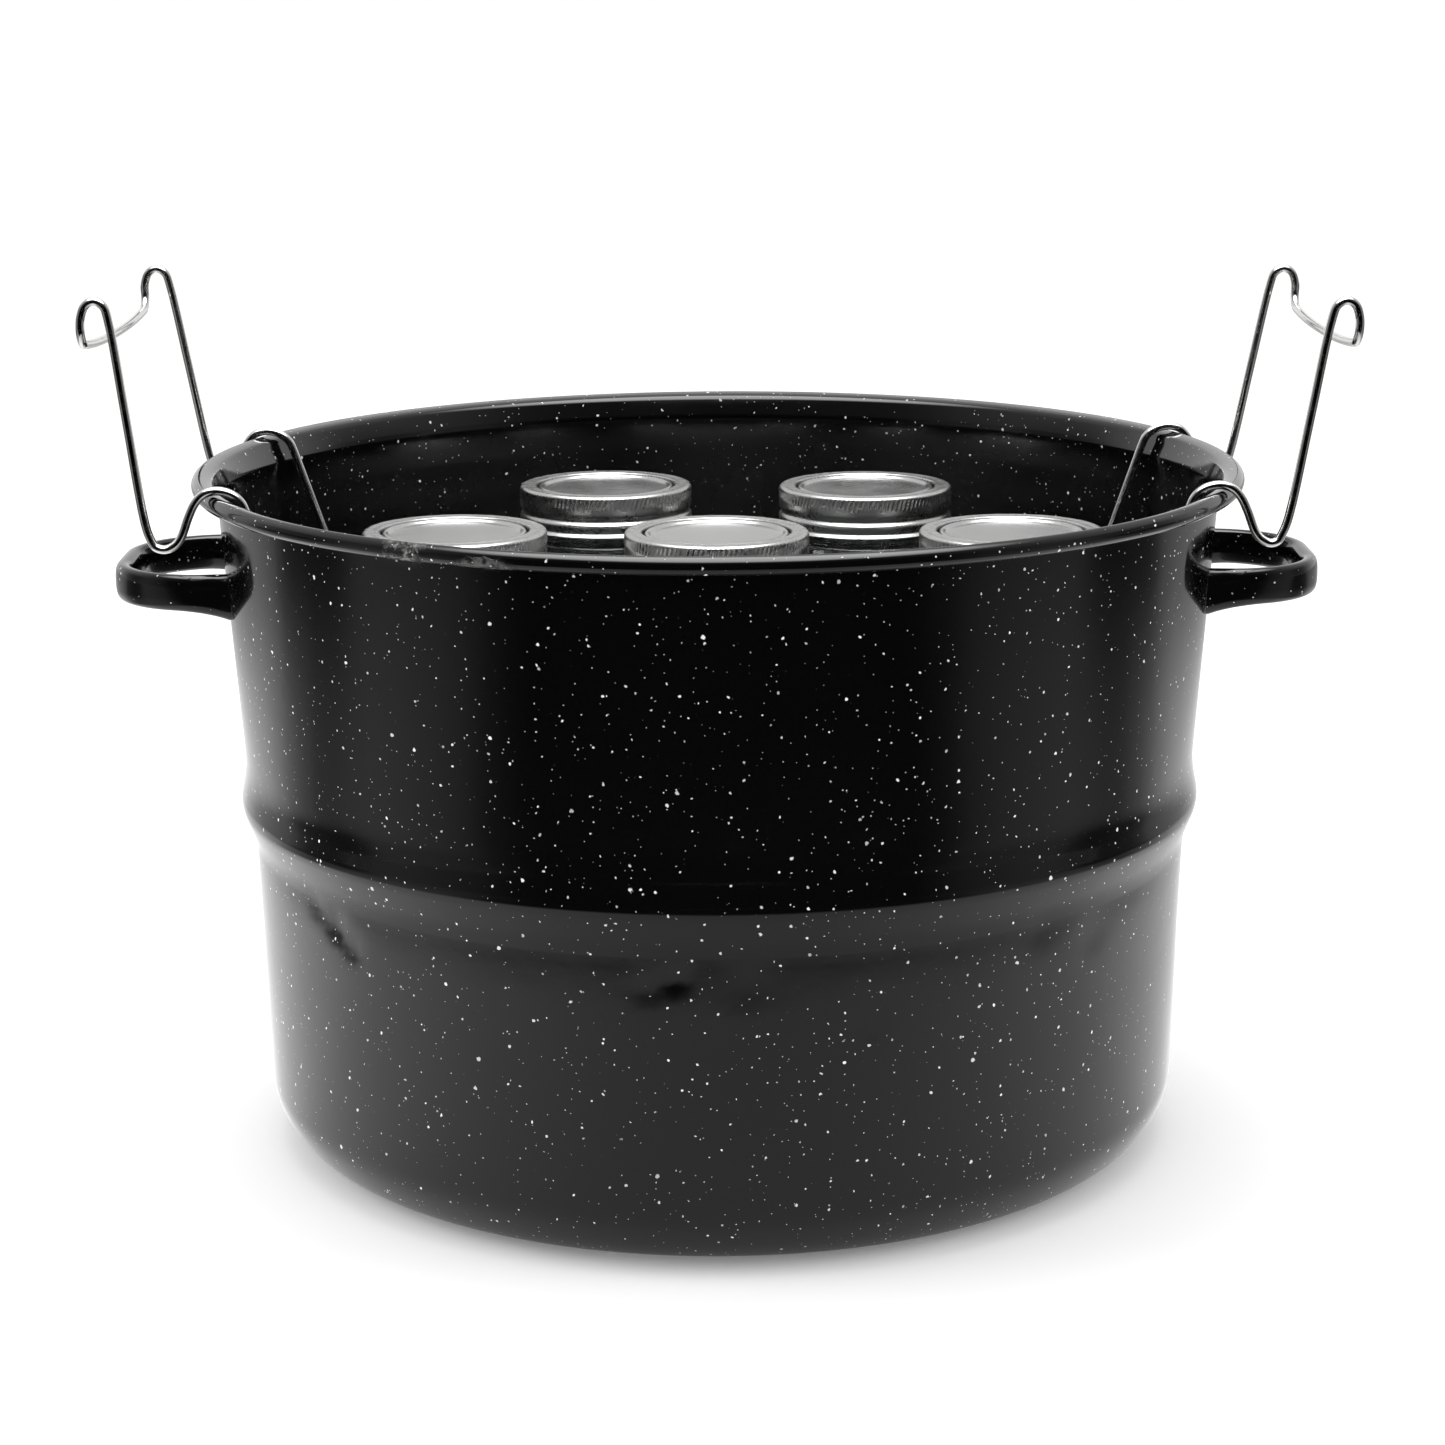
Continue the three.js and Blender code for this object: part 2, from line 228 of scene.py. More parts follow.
def sweep(path, section, closed=False, up=None, dome=0.0):
    """Sweeps section(i) -> (k, 2) points (side, up) along the path; ends closed."""
    p = np.asarray(path, float)
    t, s, u = frames(p, closed, up)
    sec = [section(i) for i in range(len(p))]
    k = len(sec[0])
    verts = [p[i] + sec[i][:, :1] * s[i] + sec[i][:, 1:] * u[i] for i in range(len(p))]
    faces = []
    n = len(p)
    for i in range(n if closed else n - 1):
        a, b = i * k, ((i + 1) % n) * k
        for j in range(k):
            q = (j + 1) % k
            faces.append((a + j, b + j, b + q, a + q))
    verts = np.vstack(verts)
    if not closed:
        extra = []
        base = len(verts)
        for end, sign in ((0, -1), (n - 1, 1)):
            ring = [end * k + j for j in range(k)]
            for lev in (1, 2):
                th = math.radians(30 * lev + 15)
                rv = p[end] + sec[end][:, :1] * s[end] * math.cos(th) + sec[end][:, 1:] * u[end] * math.cos(th) \
                    + sign * t[end] * dome * math.sin(th)
                extra.append(rv)
                new = [base + j for j in range(k)]
                for j in range(k):
                    q = (j + 1) % k
                    f = (ring[j], new[j], new[q], ring[q])
                    faces.append(f if sign > 0 else f[::-1])
                ring = new
                base += k
            extra.append((p[end] + sign * t[end] * dome)[None])
            for j in range(k):
                q = (j + 1) % k
                f = (ring[j], base, ring[q])
                faces.append(f if sign > 0 else f[::-1])
            base += 1
        verts = np.vstack([verts] + extra)
    return verts, faces


def circle_section(r, k=12):
    a = np.arange(k) * 2 * math.pi / k
    c = np.stack([np.cos(a), np.sin(a)], 1) * r
    return lambda i: c


def wire(path, r=WIRE, k=12, closed=False):
    return sweep(path, circle_section(r, k), closed=closed, dome=r)


def volume(v, f):
    tot = 0.0
    for q in f:
        for m in range(1, len(q) - 1):
            a, b, c = v[q[0]], v[q[m]], v[q[m + 1]]
            tot += float(np.dot(a, np.cross(b, c)))
    return tot


def outward(vf):
    v, f = vf
    return (v, f) if volume(v, f) > 0 else (v, [q[::-1] for q in f])


def spin(v, deg):
    a = math.radians(deg)
    m = np.array([[math.cos(a), -math.sin(a), 0], [math.sin(a), math.cos(a), 0], [0, 0, 1]])
    return np.asarray(v) @ m.T


def blob(c, r, squash=(1, 1, 1), rings=6, k=10):
    vs, fs = [], []
    vs.append([0, 0, -1])
    for i in range(1, rings):
        th = -math.pi / 2 + math.pi * i / rings
        for j in range(k):
            a = 2 * math.pi * j / k
            vs.append([math.cos(th) * math.cos(a), math.cos(th) * math.sin(a), math.sin(th)])
    vs.append([0, 0, 1])
    for j in range(k):
        q = (j + 1) % k
        fs.append((0, 1 + q, 1 + j))
        for i in range(rings - 2):
            a, b = 1 + i * k, 1 + (i + 1) * k
            fs.append((a + j, a + q, b + q, b + j))
        fs.append((1 + (rings - 2) * k + j, 1 + (rings - 2) * k + q, len(vs) - 1))
    return np.array(vs) * np.array(squash) * r + np.array(c), fs


# ------------------------------------------------------------------ materials
def new_mat(name):
    m = bpy.data.materials.new(name)
    m.use_nodes = True
    nt = m.node_tree
    bsdf = nt.nodes["Principled BSDF"]
    return m, nt, bsdf


def node(nt, kind, **kw):
    n = nt.nodes.new(kind)
    for k, v in kw.items():
        if k in ("inputs",):
            for key, val in v.items():
                n.inputs[key].default_value = val
        else:
            setattr(n, k, v)
    return n


def math_node(nt, op, a, b=None, clamp=False):
    n = nt.nodes.new("ShaderNodeMath")
    n.operation = op
    n.use_clamp = clamp
    for i, x in enumerate((a, b)):
        if x is None:
            continue
        if hasattr(x, "is_output") or hasattr(x, "links"):
            nt.links.new(x, n.inputs[i])
        else:
            n.inputs[i].default_value = x
    return n.outputs[0]


def smooth_range(nt, value, lo, hi, a=0.0, b=1.0):
    n = nt.nodes.new("ShaderNodeMapRange")
    n.interpolation_type = "SMOOTHSTEP"
    nt.links.new(value, n.inputs["Value"])
    n.inputs["From Min"].default_value = lo
    n.inputs["From Max"].default_value = hi
    n.inputs["To Min"].default_value = a
    n.inputs["To Max"].default_value = b
    return n.outputs["Result"]


def enamel_material(name, chip=None):
    """Glossy black enamel thrown with white flecks of mixed size."""
    m, nt, bsdf = new_mat(name)
    L = nt.links.new
    co = node(nt, "ShaderNodeTexCoord").outputs["Object"]
    # slight warp so that the flecks aren't perfect discs
    warp = node(nt, "ShaderNodeTexNoise", inputs={"Scale": 620.0, "Detail": 2.0, "Roughness": 0.6})
    L(co, warp.inputs["Vector"])
    sub = node(nt, "ShaderNodeVectorMath", operation="SUBTRACT")
    L(warp.outputs["Color"], sub.inputs[0])
    sub.inputs[1].default_value = (0.5, 0.5, 0.5)
    sc = node(nt, "ShaderNodeVectorMath", operation="SCALE")
    L(sub.outputs[0], sc.inputs[0])
    sc.inputs["Scale"].default_value = 0.0014
    wv = node(nt, "ShaderNodeVectorMath", operation="ADD")
    L(co, wv.inputs[0])
    L(sc.outputs[0], wv.inputs[1])

    def layer(size, radius, offset, bright):
        off = node(nt, "ShaderNodeVectorMath", operation="ADD")
        L(wv.outputs[0], off.inputs[0])
        off.inputs[1].default_value = (offset, offset * 0.7, -offset * 1.3)
        v = node(nt, "ShaderNodeTexVoronoi", feature="F1", inputs={"Scale": 1000.0 / size, "Randomness": 1.0})
        L(off.outputs[0], v.inputs["Vector"])
        sep = node(nt, "ShaderNodeSeparateColor")
        L(v.outputs["Color"], sep.inputs[0])
        # radius of this fleck: from a third of the largest up
        rad = math_node(nt, "MULTIPLY_ADD", sep.outputs[0], radius / size * 0.7)
        rad.node.inputs[2].default_value = radius / size * 0.3
        ratio = math_node(nt, "DIVIDE", v.outputs["Distance"], rad)
        dot = smooth_range(nt, ratio, 1.0, 0.72)
        lum = math_node(nt, "MULTIPLY_ADD", sep.outputs[1], bright * 0.6)
        lum.node.inputs[2].default_value = bright * 0.4
        return math_node(nt, "MULTIPLY", dot, lum)

    flecks = layer(4.5, 0.66, 0.0, 1.0)
    flecks = math_node(nt, "MAXIMUM", flecks, layer(9.5, 0.92, 3.1, 1.0))
    flecks = math_node(nt, "MAXIMUM", flecks, layer(2.9, 0.38, 7.7, 0.75))
    flecks = math_node(nt, "MINIMUM", flecks, 1.0)

    # uneven glaze: very slight tone shift
    tone = node(nt, "ShaderNodeTexNoise", inputs={"Scale": 9.0, "Detail": 3.0, "Roughness": 0.55})
    L(co, tone.inputs["Vector"])
    black = node(nt, "ShaderNodeMix", data_type="RGBA")
    black.inputs["A"].default_value = (0.0012, 0.0012, 0.0013, 1)
    black.inputs["B"].default_value = (0.0026, 0.0026, 0.0028, 1)
    L(tone.outputs["Fac"], black.inputs["Factor"])
    mix = node(nt, "ShaderNodeMix", data_type="RGBA")
    L(flecks, mix.inputs["Factor"])
    L(black.outputs["Result"], mix.inputs["A"])
    mix.inputs["B"].default_value = (0.86, 0.86, 0.85, 1)
    colour = mix.outputs["Result"]

    rough_noise = node(nt, "ShaderNodeTexNoise", inputs={"Scale": 34.0, "Detail": 4.0, "Roughness": 0.6})
    L(co, rough_noise.inputs["Vector"])
    rough = smooth_range(nt, rough_noise.outputs["Fac"], 0.3, 0.75, 0.055, 0.12)

    # orange peel and fleck height
    peel = node(nt, "ShaderNodeTexNoise", inputs={"Scale": 120.0, "Detail": 2.0, "Roughness": 0.5})
    L(co, peel.inputs["Vector"])
    wave = node(nt, "ShaderNodeTexNoise", inputs={"Scale": 26.0, "Detail": 2.0, "Roughness": 0.5})
    L(co, wave.inputs["Vector"])
    h1 = math_node(nt, "MULTIPLY", peel.outputs["Fac"], 0.000035)
    h2 = math_node(nt, "MULTIPLY", wave.outputs["Fac"], 0.00009)
    h3 = math_node(nt, "MULTIPLY", flecks, 0.00004)
    height = math_node(nt, "ADD", math_node(nt, "ADD", h1, h2), h3)

    if chip is not None:
        # worn patch on the rim: rough, greyish, broken edge
        d = node(nt, "ShaderNodeVectorMath", operation="SUBTRACT")
        L(co, d.inputs[0])
        d.inputs[1].default_value = tuple(c / 1000.0 for c in chip)
        sq = node(nt, "ShaderNodeVectorMath", operation="LENGTH")
        L(d.outputs[0], sq.inputs[0])
        cn = node(nt, "ShaderNodeTexNoise", inputs={"Scale": 420.0, "Detail": 4.0, "Roughness": 0.7})
        L(co, cn.inputs["Vector"])
        edge = math_node(nt, "MULTIPLY_ADD", cn.outputs["Fac"], 0.008)
        L(sq.outputs["Value"], edge.node.inputs[2])
        patch = smooth_range(nt, edge, 0.0135, 0.0105)
        cn2 = smooth_range(nt, cn.outputs["Fac"], 0.45, 0.62)
        pm = math_node(nt, "MULTIPLY", patch, cn2)
        mx = node(nt, "ShaderNodeMix", data_type="RGBA")
        L(pm, mx.inputs["Factor"])
        L(colour, mx.inputs["A"])
        mx.inputs["B"].default_value = (0.18, 0.175, 0.17, 1)
        colour = mx.outputs["Result"]
        rough = math_node(nt, "MULTIPLY_ADD", patch, 0.35)
        rn = smooth_range(nt, rough_noise.outputs["Fac"], 0.3, 0.75, 0.055, 0.12)
        L(rn, rough.node.inputs[2])
        h4 = math_node(nt, "MULTIPLY", math_node(nt, "MULTIPLY", patch, cn.outputs["Fac"]), 0.0009)
        height = math_node(nt, "ADD", height, h4)

        # second worn patch, long and low, on the underside of the bead
        d2 = node(nt, "ShaderNodeVectorMath", operation="SUBTRACT")
        L(co, d2.inputs[0])
        d2.inputs[1].default_value = tuple(c / 1000.0 for c in SCUFF)
        z2 = node(nt, "ShaderNodeVectorMath", operation="MULTIPLY")
        L(d2.outputs[0], z2.inputs[0])
        z2.inputs[1].default_value = (1.0, 1.0, 3.2)
        l2 = node(nt, "ShaderNodeVectorMath", operation="LENGTH")
        L(z2.outputs[0], l2.inputs[0])
        edge2 = math_node(nt, "MULTIPLY_ADD", cn.outputs["Fac"], 0.009)
        L(l2.outputs["Value"], edge2.node.inputs[2])
        patch2 = smooth_range(nt, edge2, 0.0175, 0.013)
        mx2 = node(nt, "ShaderNodeMix", data_type="RGBA")
        L(math_node(nt, "MULTIPLY", patch2, smooth_range(nt, cn.outputs["Fac"], 0.4, 0.6)), mx2.inputs["Factor"])
        L(colour, mx2.inputs["A"])
        mx2.inputs["B"].default_value = (0.07, 0.068, 0.065, 1)
        colour = mx2.outputs["Result"]
        wear = math_node(nt, "MULTIPLY_ADD", patch2, 0.3)
        L(rough, wear.node.inputs[2])
        rough = wear
        h5 = math_node(nt, "MULTIPLY", math_node(nt, "MULTIPLY", patch2, cn.outputs["Fac"]), 0.0006)
        height = math_node(nt, "ADD", height, h5)
        # the inside of the wall is a little duller below the rim
        tc = node(nt, "ShaderNodeTexCoord")
        facing = node(nt, "ShaderNodeVectorMath", operation="DOT_PRODUCT")
        L(tc.outputs["Normal"], facing.inputs[0])
        flat = node(nt, "ShaderNodeVectorMath", operation="MULTIPLY")
        L(co, flat.inputs[0])
        flat.inputs[1].default_value = (5.0, 5.0, 0.0)
        L(flat.outputs[0], facing.inputs[1])
        inside = smooth_range(nt, facing.outputs["Value"], 0.0, -0.5)
        xyz = node(nt, "ShaderNodeSeparateXYZ")
        L(co, xyz.inputs[0])
        below = smooth_range(nt, xyz.outputs["Z"], 0.262, 0.248)
        dull = math_node(nt, "MULTIPLY", math_node(nt, "MULTIPLY", inside, below), 0.18)
        rough = math_node(nt, "ADD", rough, dull)

    bump = node(nt, "ShaderNodeBump", inputs={"Strength": 1.0, "Distance": 1.0})
    L(height, bump.inputs["Height"])
    L(colour, bsdf.inputs["Base Color"])
    L(rough, bsdf.inputs["Roughness"])
    L(bump.outputs["Normal"], bsdf.inputs["Normal"])
    bsdf.inputs["IOR"].default_value = 1.5
    bsdf.inputs["Specular IOR Level"].default_value = 0.5
    return m


def plated_wire_material():
    """Bright plated steel wire, faintly drawn along its length."""
    m, nt, bsdf = new_mat("plated_wire")
    L = nt.links.new
    co = node(nt, "ShaderNodeTexCoord").outputs["Object"]
    n1 = node(nt, "ShaderNodeTexNoise", inputs={"Scale": 260.0, "Detail": 3.0, "Roughness": 0.6})
    L(co, n1.inputs["Vector"])
    n2 = node(nt, "ShaderNodeTexNoise", inputs={"Scale": 42.0, "Detail": 3.0, "Roughness": 0.6})
    L(co, n2.inputs["Vector"])
    L(smooth_range(nt, n1.outputs["Fac"], 0.3, 0.75, 0.1, 0.2), bsdf.inputs["Roughness"])
    ramp = node(nt, "ShaderNodeMix", data_type="RGBA")
    ramp.inputs["A"].default_value = (0.58, 0.575, 0.565, 1)
    ramp.inputs["B"].default_value = (0.74, 0.735, 0.725, 1)
    L(n2.outputs["Fac"], ramp.inputs["Factor"])
    L(ramp.outputs["Result"], bsdf.inputs["Base Color"])
    bump = node(nt, "ShaderNodeBump", inputs={"Strength": 1.0, "Distance": 1.0})
    L(math_node(nt, "MULTIPLY", n1.outputs["Fac"], 0.00002), bump.inputs["Height"])
    L(bump.outputs["Normal"], bsdf.inputs["Normal"])
    bsdf.inputs["Metallic"].default_value = 1.0
    return m


def tinplate_material(name, angle, rough=(0.24, 0.38), base=(0.60, 0.72), tint=0.5):
    """Satin tinplate with the rolling lines of the sheet and light scuffs."""
    m, nt, bsdf = new_mat(name)
    L = nt.links.new
    co = node(nt, "ShaderNodeTexCoord").outputs["Object"]
    mp = node(nt, "ShaderNodeMapping")
    mp.inputs["Rotation"].default_value = (0, 0, angle)
    mp.inputs["Scale"].default_value = (1.0, 22.0, 6.0)
    L(co, mp.inputs["Vector"])
    lines = node(nt, "ShaderNodeTexNoise", inputs={"Scale": 70.0, "Detail": 5.0, "Roughness": 0.65})
    L(mp.outputs["Vector"], lines.inputs["Vector"])
    cloud = node(nt, "ShaderNodeTexNoise", inputs={"Scale": 55.0, "Detail": 4.0, "Roughness": 0.6})
    L(co, cloud.inputs["Vector"])
    mixf = math_node(nt, "MULTIPLY", math_node(nt, "ADD", lines.outputs["Fac"], cloud.outputs["Fac"]), 0.5)
    L(smooth_range(nt, mixf, 0.35, 0.65, rough[0], rough[1]), bsdf.inputs["Roughness"])
    ramp = node(nt, "ShaderNodeMix", data_type="RGBA")
    ramp.inputs["A"].default_value = (base[0], base[0], base[0] * 0.99, 1)
    ramp.inputs["B"].default_value = (base[1], base[1], base[1] * 0.99, 1)
    L(cloud.outputs["Fac"], ramp.inputs["Factor"])
    # fine scratches
    sm = node(nt, "ShaderNodeMapping")
    sm.inputs["Rotation"].default_value = (0, 0, angle * 1.7 + 0.6)
    sm.inputs["Scale"].default_value = (1.0, 40.0, 4.0)
    L(co, sm.inputs["Vector"])
    scr = node(nt, "ShaderNodeTexVoronoi", feature="DISTANCE_TO_EDGE", inputs={"Scale": 16.0, "Randomness": 1.0})
    L(sm.outputs["Vector"], scr.inputs["Vector"])
    scratch = smooth_range(nt, scr.outputs["Distance"], 0.012, 0.0)
    dark = node(nt, "ShaderNodeMix", data_type="RGBA")
    L(math_node(nt, "MULTIPLY", scratch, 0.14), dark.inputs["Factor"])
    L(ramp.outputs["Result"], dark.inputs["A"])
    dark.inputs["B"].default_value = (0.3, 0.3, 0.3, 1)
    L(dark.outputs["Result"], bsdf.inputs["Base Color"])
    bump = node(nt, "ShaderNodeBump", inputs={"Strength": 1.0, "Distance": 1.0})
    hh = math_node(nt, "ADD", math_node(nt, "MULTIPLY", lines.outputs["Fac"], 0.000006),
                   math_node(nt, "MULTIPLY", cloud.outputs["Fac"], 0.00002))
    L(hh, bump.inputs["Height"])
    L(bump.outputs["Normal"], bsdf.inputs["Normal"])
    bsdf.inputs["Metallic"].default_value = 1.0
    bsdf.inputs["Specular Tint"].default_value = (tint, tint, tint, 1)
    return m


def glass_material():
    """Pressed soda glass with a slightly wavy wall."""
    m, nt, bsdf = new_mat("jar_glass")
    L = nt.links.new
    co = node(nt, "ShaderNodeTexCoord").outputs["Object"]
    n1 = node(nt, "ShaderNodeTexNoise", inputs={"Scale": 45.0, "Detail": 2.0, "Roughness": 0.5})
    L(co, n1.inputs["Vector"])
    bump = node(nt, "ShaderNodeBump", inputs={"Strength": 1.0, "Distance": 1.0})
    L(math_node(nt, "MULTIPLY", n1.outputs["Fac"], 0.0006), bump.inputs["Height"])
    L(bump.outputs["Normal"], bsdf.inputs["Normal"])
    L(smooth_range(nt, n1.outputs["Fac"], 0.3, 0.7, 0.01, 0.04), bsdf.inputs["Roughness"])
    bsdf.inputs["Base Color"].default_value = (0.93, 0.965, 0.955, 1)
    bsdf.inputs["Transmission Weight"].default_value = 1.0
    bsdf.inputs["IOR"].default_value = 1.51
    return m


# ------------------------------------------------------------------ pot body
def offset_profile(p, d):
    t = np.gradient(p, axis=0)
    t /= np.linalg.norm(t, axis=1)[:, None]
    return p + np.stack([-t[:, 1], t[:, 0]], 1) * d


def densify(p, step):
    out = [p[0]]
    for a, b in zip(p, p[1:]):
        n = max(1, int(round(np.linalg.norm(b - a) / step)))
        for k in range(1, n + 1):
            out.append(a + (b - a) * k / n)
    return np.array(out)


outer = fillet([((120.0, 0.0), 0), ((183.3, 0.0), 28.0), ((185.7, 90.0), 80.0), ((187.2, 126.5), 24.0),
                ((192.75, 140.4), 11.0), ((189.9, 154.6), 60.0), ((197.75, 264.9), 1.6), ((200.7, 265.7), 0)], step=4.0)
outer = densify(outer, 3.5)
inner = offset_profile(outer, SHEET)
LIP = int(np.argmin(np.abs(outer[:, 1] - 250.0)))
bead = [(BEAD_R + BEAD * math.cos(math.radians(a)), BEAD_Z + BEAD * math.sin(math.radians(a)))
        for a in range(-142, 91, 13)]
lip = densify(fillet([(bead[-1], 0), ((199.2, 270.1), 3.2), ((196.1, 261.8), 9.0), (tuple(inner[LIP]), 0)], step=7.5), 3.0)
profile = [(0.0, 0.0), (60.0, 0.0)] + [tuple(q) for q in outer] + bead + [tuple(q) for q in lip[1:-1]] \
    + [tuple(q) for q in inner[:LIP][::-1]] + [(60.0, SHEET), (0.0, SHEET)]

# shallow dents and smudged dimples of the drawn sheet: (angle deg, z, radius, depth)
DENTS = [(215.5, 120.5, 5.0, 0.45), (219.5, 115.5, 5.5, 1.0), (222.5, 109.0, 5.0, 0.8), (265.0, 114.5, 4.0, 0.7),
         (261.8, 110.5, 4.0, 0.45), (273.0, 112.0, 9.0, 0.3), (286.7, 97.0, 8.0, 0.34), (309.1, 121.0, 8.0, 0.3),
         (318.0, 112.0, 9.0, 0.4),
         (300.0, 200.0, 22.0, 0.12), (245.0, 190.0, 25.0, 0.12), (40.0, 90.0, 16.0, 0.3), (120.0, 60.0, 14.0, 0.3),
         (165.0, 110.0, 10.0, 0.3), (75.0, 180.0, 24.0, 0.2)]
WAVES = [(int(RNG.integers(2, 15)), float(RNG.uniform(0.006, 0.05)), float(RNG.uniform(0, 6.283)),
          float(RNG.uniform(0, 6.283)), float(RNG.uniform(0.2, 1.0))) for _ in range(16)]


def wall_shift(ang, z):
    d = np.zeros_like(ang)
    for k, w, p1, p2, a in WAVES:
        d += a * np.sin(k * ang + p1) * np.sin(w * z + p2) / (0.6 + 0.35 * k)
    d *= 0.07 * (1.0 - 0.5 * min(1.0, max(0.0, (z - 225.0) / 40.0)))
    for deg, dz, rad, dep in DENTS:
        da = (ang - math.radians(deg) + math.pi) % (2 * math.pi) - math.pi
        q = ((da * 187) ** 2 + (z - dz) ** 2) / rad ** 2
        d -= dep * np.exp(-q)
    return d * min(1.0, max(0.0, (z - 4.0) / 25.0))


def pot_radial(ang, r, z):
    if r < 150:
        return np.full(len(ang), r)
    return r + wall_shift(ang, z)


CHIP = (-108.5, -172.0, 270.0)
SCUFF = (-81.0, -190.5, 265.5)
enamel = enamel_material("flecked_enamel", chip=CHIP)
v, f = lathe(profile, n=288, radial=pot_radial)
# broken glaze on the rim
d = np.linalg.norm(v - np.array(CHIP), axis=1)
rough = RNG.normal(0, 1, len(v))
w = np.exp(-(d / 7.5) ** 2)
v = v + (v * np.array([1, 1, 0]) / np.maximum(np.linalg.norm(v[:, :2], axis=1), 1)[:, None]) * (rough * w * 0.28)[:, None]
v[:, 2] = np.minimum(v[:, 2] + rough * w * 0.2, H)
pot = add("pot_shell", v, f, enamel, "pot", nodes=("pot_body",), sharp=50)


# ------------------------------------------------------------------ pot handles
def wall_r(z):
    return float(np.interp(z, [28, 118, 139, 154, 264], [184.0, 186.6, 192.2, 190.5, 197.5]))


def handle(side):
    half, root, xo = 45.8, 43.8, (234.6 if side > 0 else 236.0)
    path = fillet([((187.5, -root, 228.5), 0), ((xo, -half, 228.5), 34.0), ((xo, half, 228.5), 34.0),
                   ((187.5, root, 228.5), 0)], step=5)
    path = densify(path, 2.6)
    a = np.arange(28) * 2 * math.pi / 28
    ca, sa = np.cos(a), np.sin(a)
    n = len(path)

    def section(i):
        x = path[i][0]
        foot = max(0.0, 1.0 - max(0.0, x - 189.5) / 6.0) ** 2
        near = (1.0 - min(1.0, max(0.0, (x - 190.0) / 22.0))) ** 2
        tall = (14.2 + 4.0 * near) / 2
        out = 4.0 + 0.5 * foot
        inn = 3.3 + 1.2 * foot
        # side axis points to the inside of the loop here
        s = np.where(ca > 0, inn * np.abs(ca) ** 0.62, -out * np.abs(ca) ** 0.85)
        z = tall * np.sign(sa) * np.abs(sa) ** np.where(ca > 0, 0.72, 0.85)
        # the top edge stays level, the underside drops towards the wall
        z = z - 1.8 * near
        return np.stack([s, z], 1)

    vv, ff = outward(sweep(path, section, up=(0, 0, 1), dome=0.2))
    # the strap is the only part; no weld fillet is built where it meets the wall
    parts = [(vv, ff)]
    vv, ff = join(parts)
    # keep everything outside the wall
    rr = np.hypot(vv[:, 0], vv[:, 1])
    need = np.array([wall_r(z) for z in vv[:, 2]]) + 0.05
    push = np.maximum(need - rr, 0)
    vv[:, 0] += np.where(push > 0, push * 1.02, 0)
    if side < 0:
        vv = spin(vv, 180)
    return vv, ff


for side, nm in ((-1, "left"), (1, "right")):
    vv, ff = handle(side)
    add("loop_handle_" + nm, vv, ff, enamel_material("flecked_enamel_handle_" + nm), "pot",
        nodes=("pot_handle_" + nm,), sharp=60)


# ------------------------------------------------------------------ rack
wire_mat = plated_wire_material()


def ring_path(r, z, n=96):
    a = np.arange(n) * 2 * math.pi / n
    return np.stack([r * np.cos(a), r * np.sin(a), np.full(n, z)], 1)


for nm, r, z, n in (("inner", 38, RACK_Z, 64), ("middle", 82, RACK_Z, 96), ("outer", 140, RACK_Z, 144)):
    v, f = outward(wire(ring_path(r, z, n), closed=True, k=10))
    add("rack_ring_wire_" + nm, v, f, wire_mat, "rack", nodes=("rack_ring_" + nm,))
v, f = outward(wire(ring_path(GUARD_R, 115, 168), closed=True, k=10))
add("rack_guard_wire", v, f, wire_mat, "rack", nodes=("rack_guard_ring",))

for side, nm in ((-1, "left"), (1, "right")):
    v, f = outward(wire(np.array([[side * HINGE_X, y, RACK_Z] for y in np.linspace(-86.5, 86.5, 24)]), k=12))
    add("rack_hinge_wire_" + nm, v, f, wire_mat, "rack", nodes=("rack_hinge_rod_" + nm,))

for k in range(6):
    p = fillet([((18, 0, SPOKE_Z), 0), ((SPOKE_R, 0, SPOKE_Z), 7.0), ((SPOKE_R, 0, 122.0), 0)], step=9)
    v, f = outward(wire(densify(p, 9.0), k=12))
    add("rack_spoke_wire_%d" % (k + 1), spin(v, 60 * k), f, wire_mat, "rack",
        nodes=("rack_spoke_%d" % (k + 1),))
    p = fillet([((85.7, 0, 65.6), 0), ((85.7, 0, 130), 14.0), ((135.4, 0, 130), 14.0), ((135.4, 0, 65.6), 0)], step=9)
    v, f = outward(wire(densify(p, 9.0), k=12))
    add("rack_divider_wire_%d" % (k + 1), spin(v, DIVIDERS[k]), f, wire_mat, "rack",
        nodes=("rack_divider_%d" % (k + 1),))

welds = []
for k in range(6):
    for r in (38, 82, 140):
        welds.append((spin(blob((r, 0, 67.65), 1.9, (1.05, 1.05, 0.8))[0], 60 * k), blob((0, 0, 0), 1)[1]))
    welds.append((spin(blob(((GUARD_R + SPOKE_R) / 2, 0, 115), 1.9, (0.8, 1.05, 1.05))[0], 60 * k), blob((0, 0, 0), 1)[1]))
    for r in (83.9, 137.7):
        welds.append((spin(blob((r, 0, 69.5), 1.8, (0.8, 1.05, 1.1))[0], DIVIDERS[k]), blob((0, 0, 0), 1)[1]))
for sx in (-1, 1):
    for sy in (-1, 1):
        c = math.sqrt(139.2 ** 2 - HINGE_X ** 2)
        welds.append(blob((sx * HINGE_X, sy * (c - 2.6), RACK_Z), 2.3, (1.0, 1.15, 0.85)))
v, f = join(welds)
add("rack_weld_spots", v, f, wire_mat, "rack")

# ------------------------------------------------------------------ bails
STRAND = [(178.0, 265.6), (179.7, 269.3), (183.8, 272.6), (189.4, 273.7), (194.0, 272.3),
          (197.2, 268.8), (199.8, 263.5), (202.8, 255.9), (205.4, 252.8), (209.2, 251.4),
          (212.8, 252.4), (214.8, 255.6), (216.6, 261.4), (222.4, 300.0), (228.0, 337.0),
          (229.4, 341.2), (232.6, 343.2), (236.2, 341.6), (238.2, 336.8), (238.4, 332.0)]


SET = {-1: ((-0.3, -4.1), (0.5, -2.3), (1.0, -0.4)), 1: ((-1.5, -2.0), (3.3, 0.6), (-1.5, -2.9))}


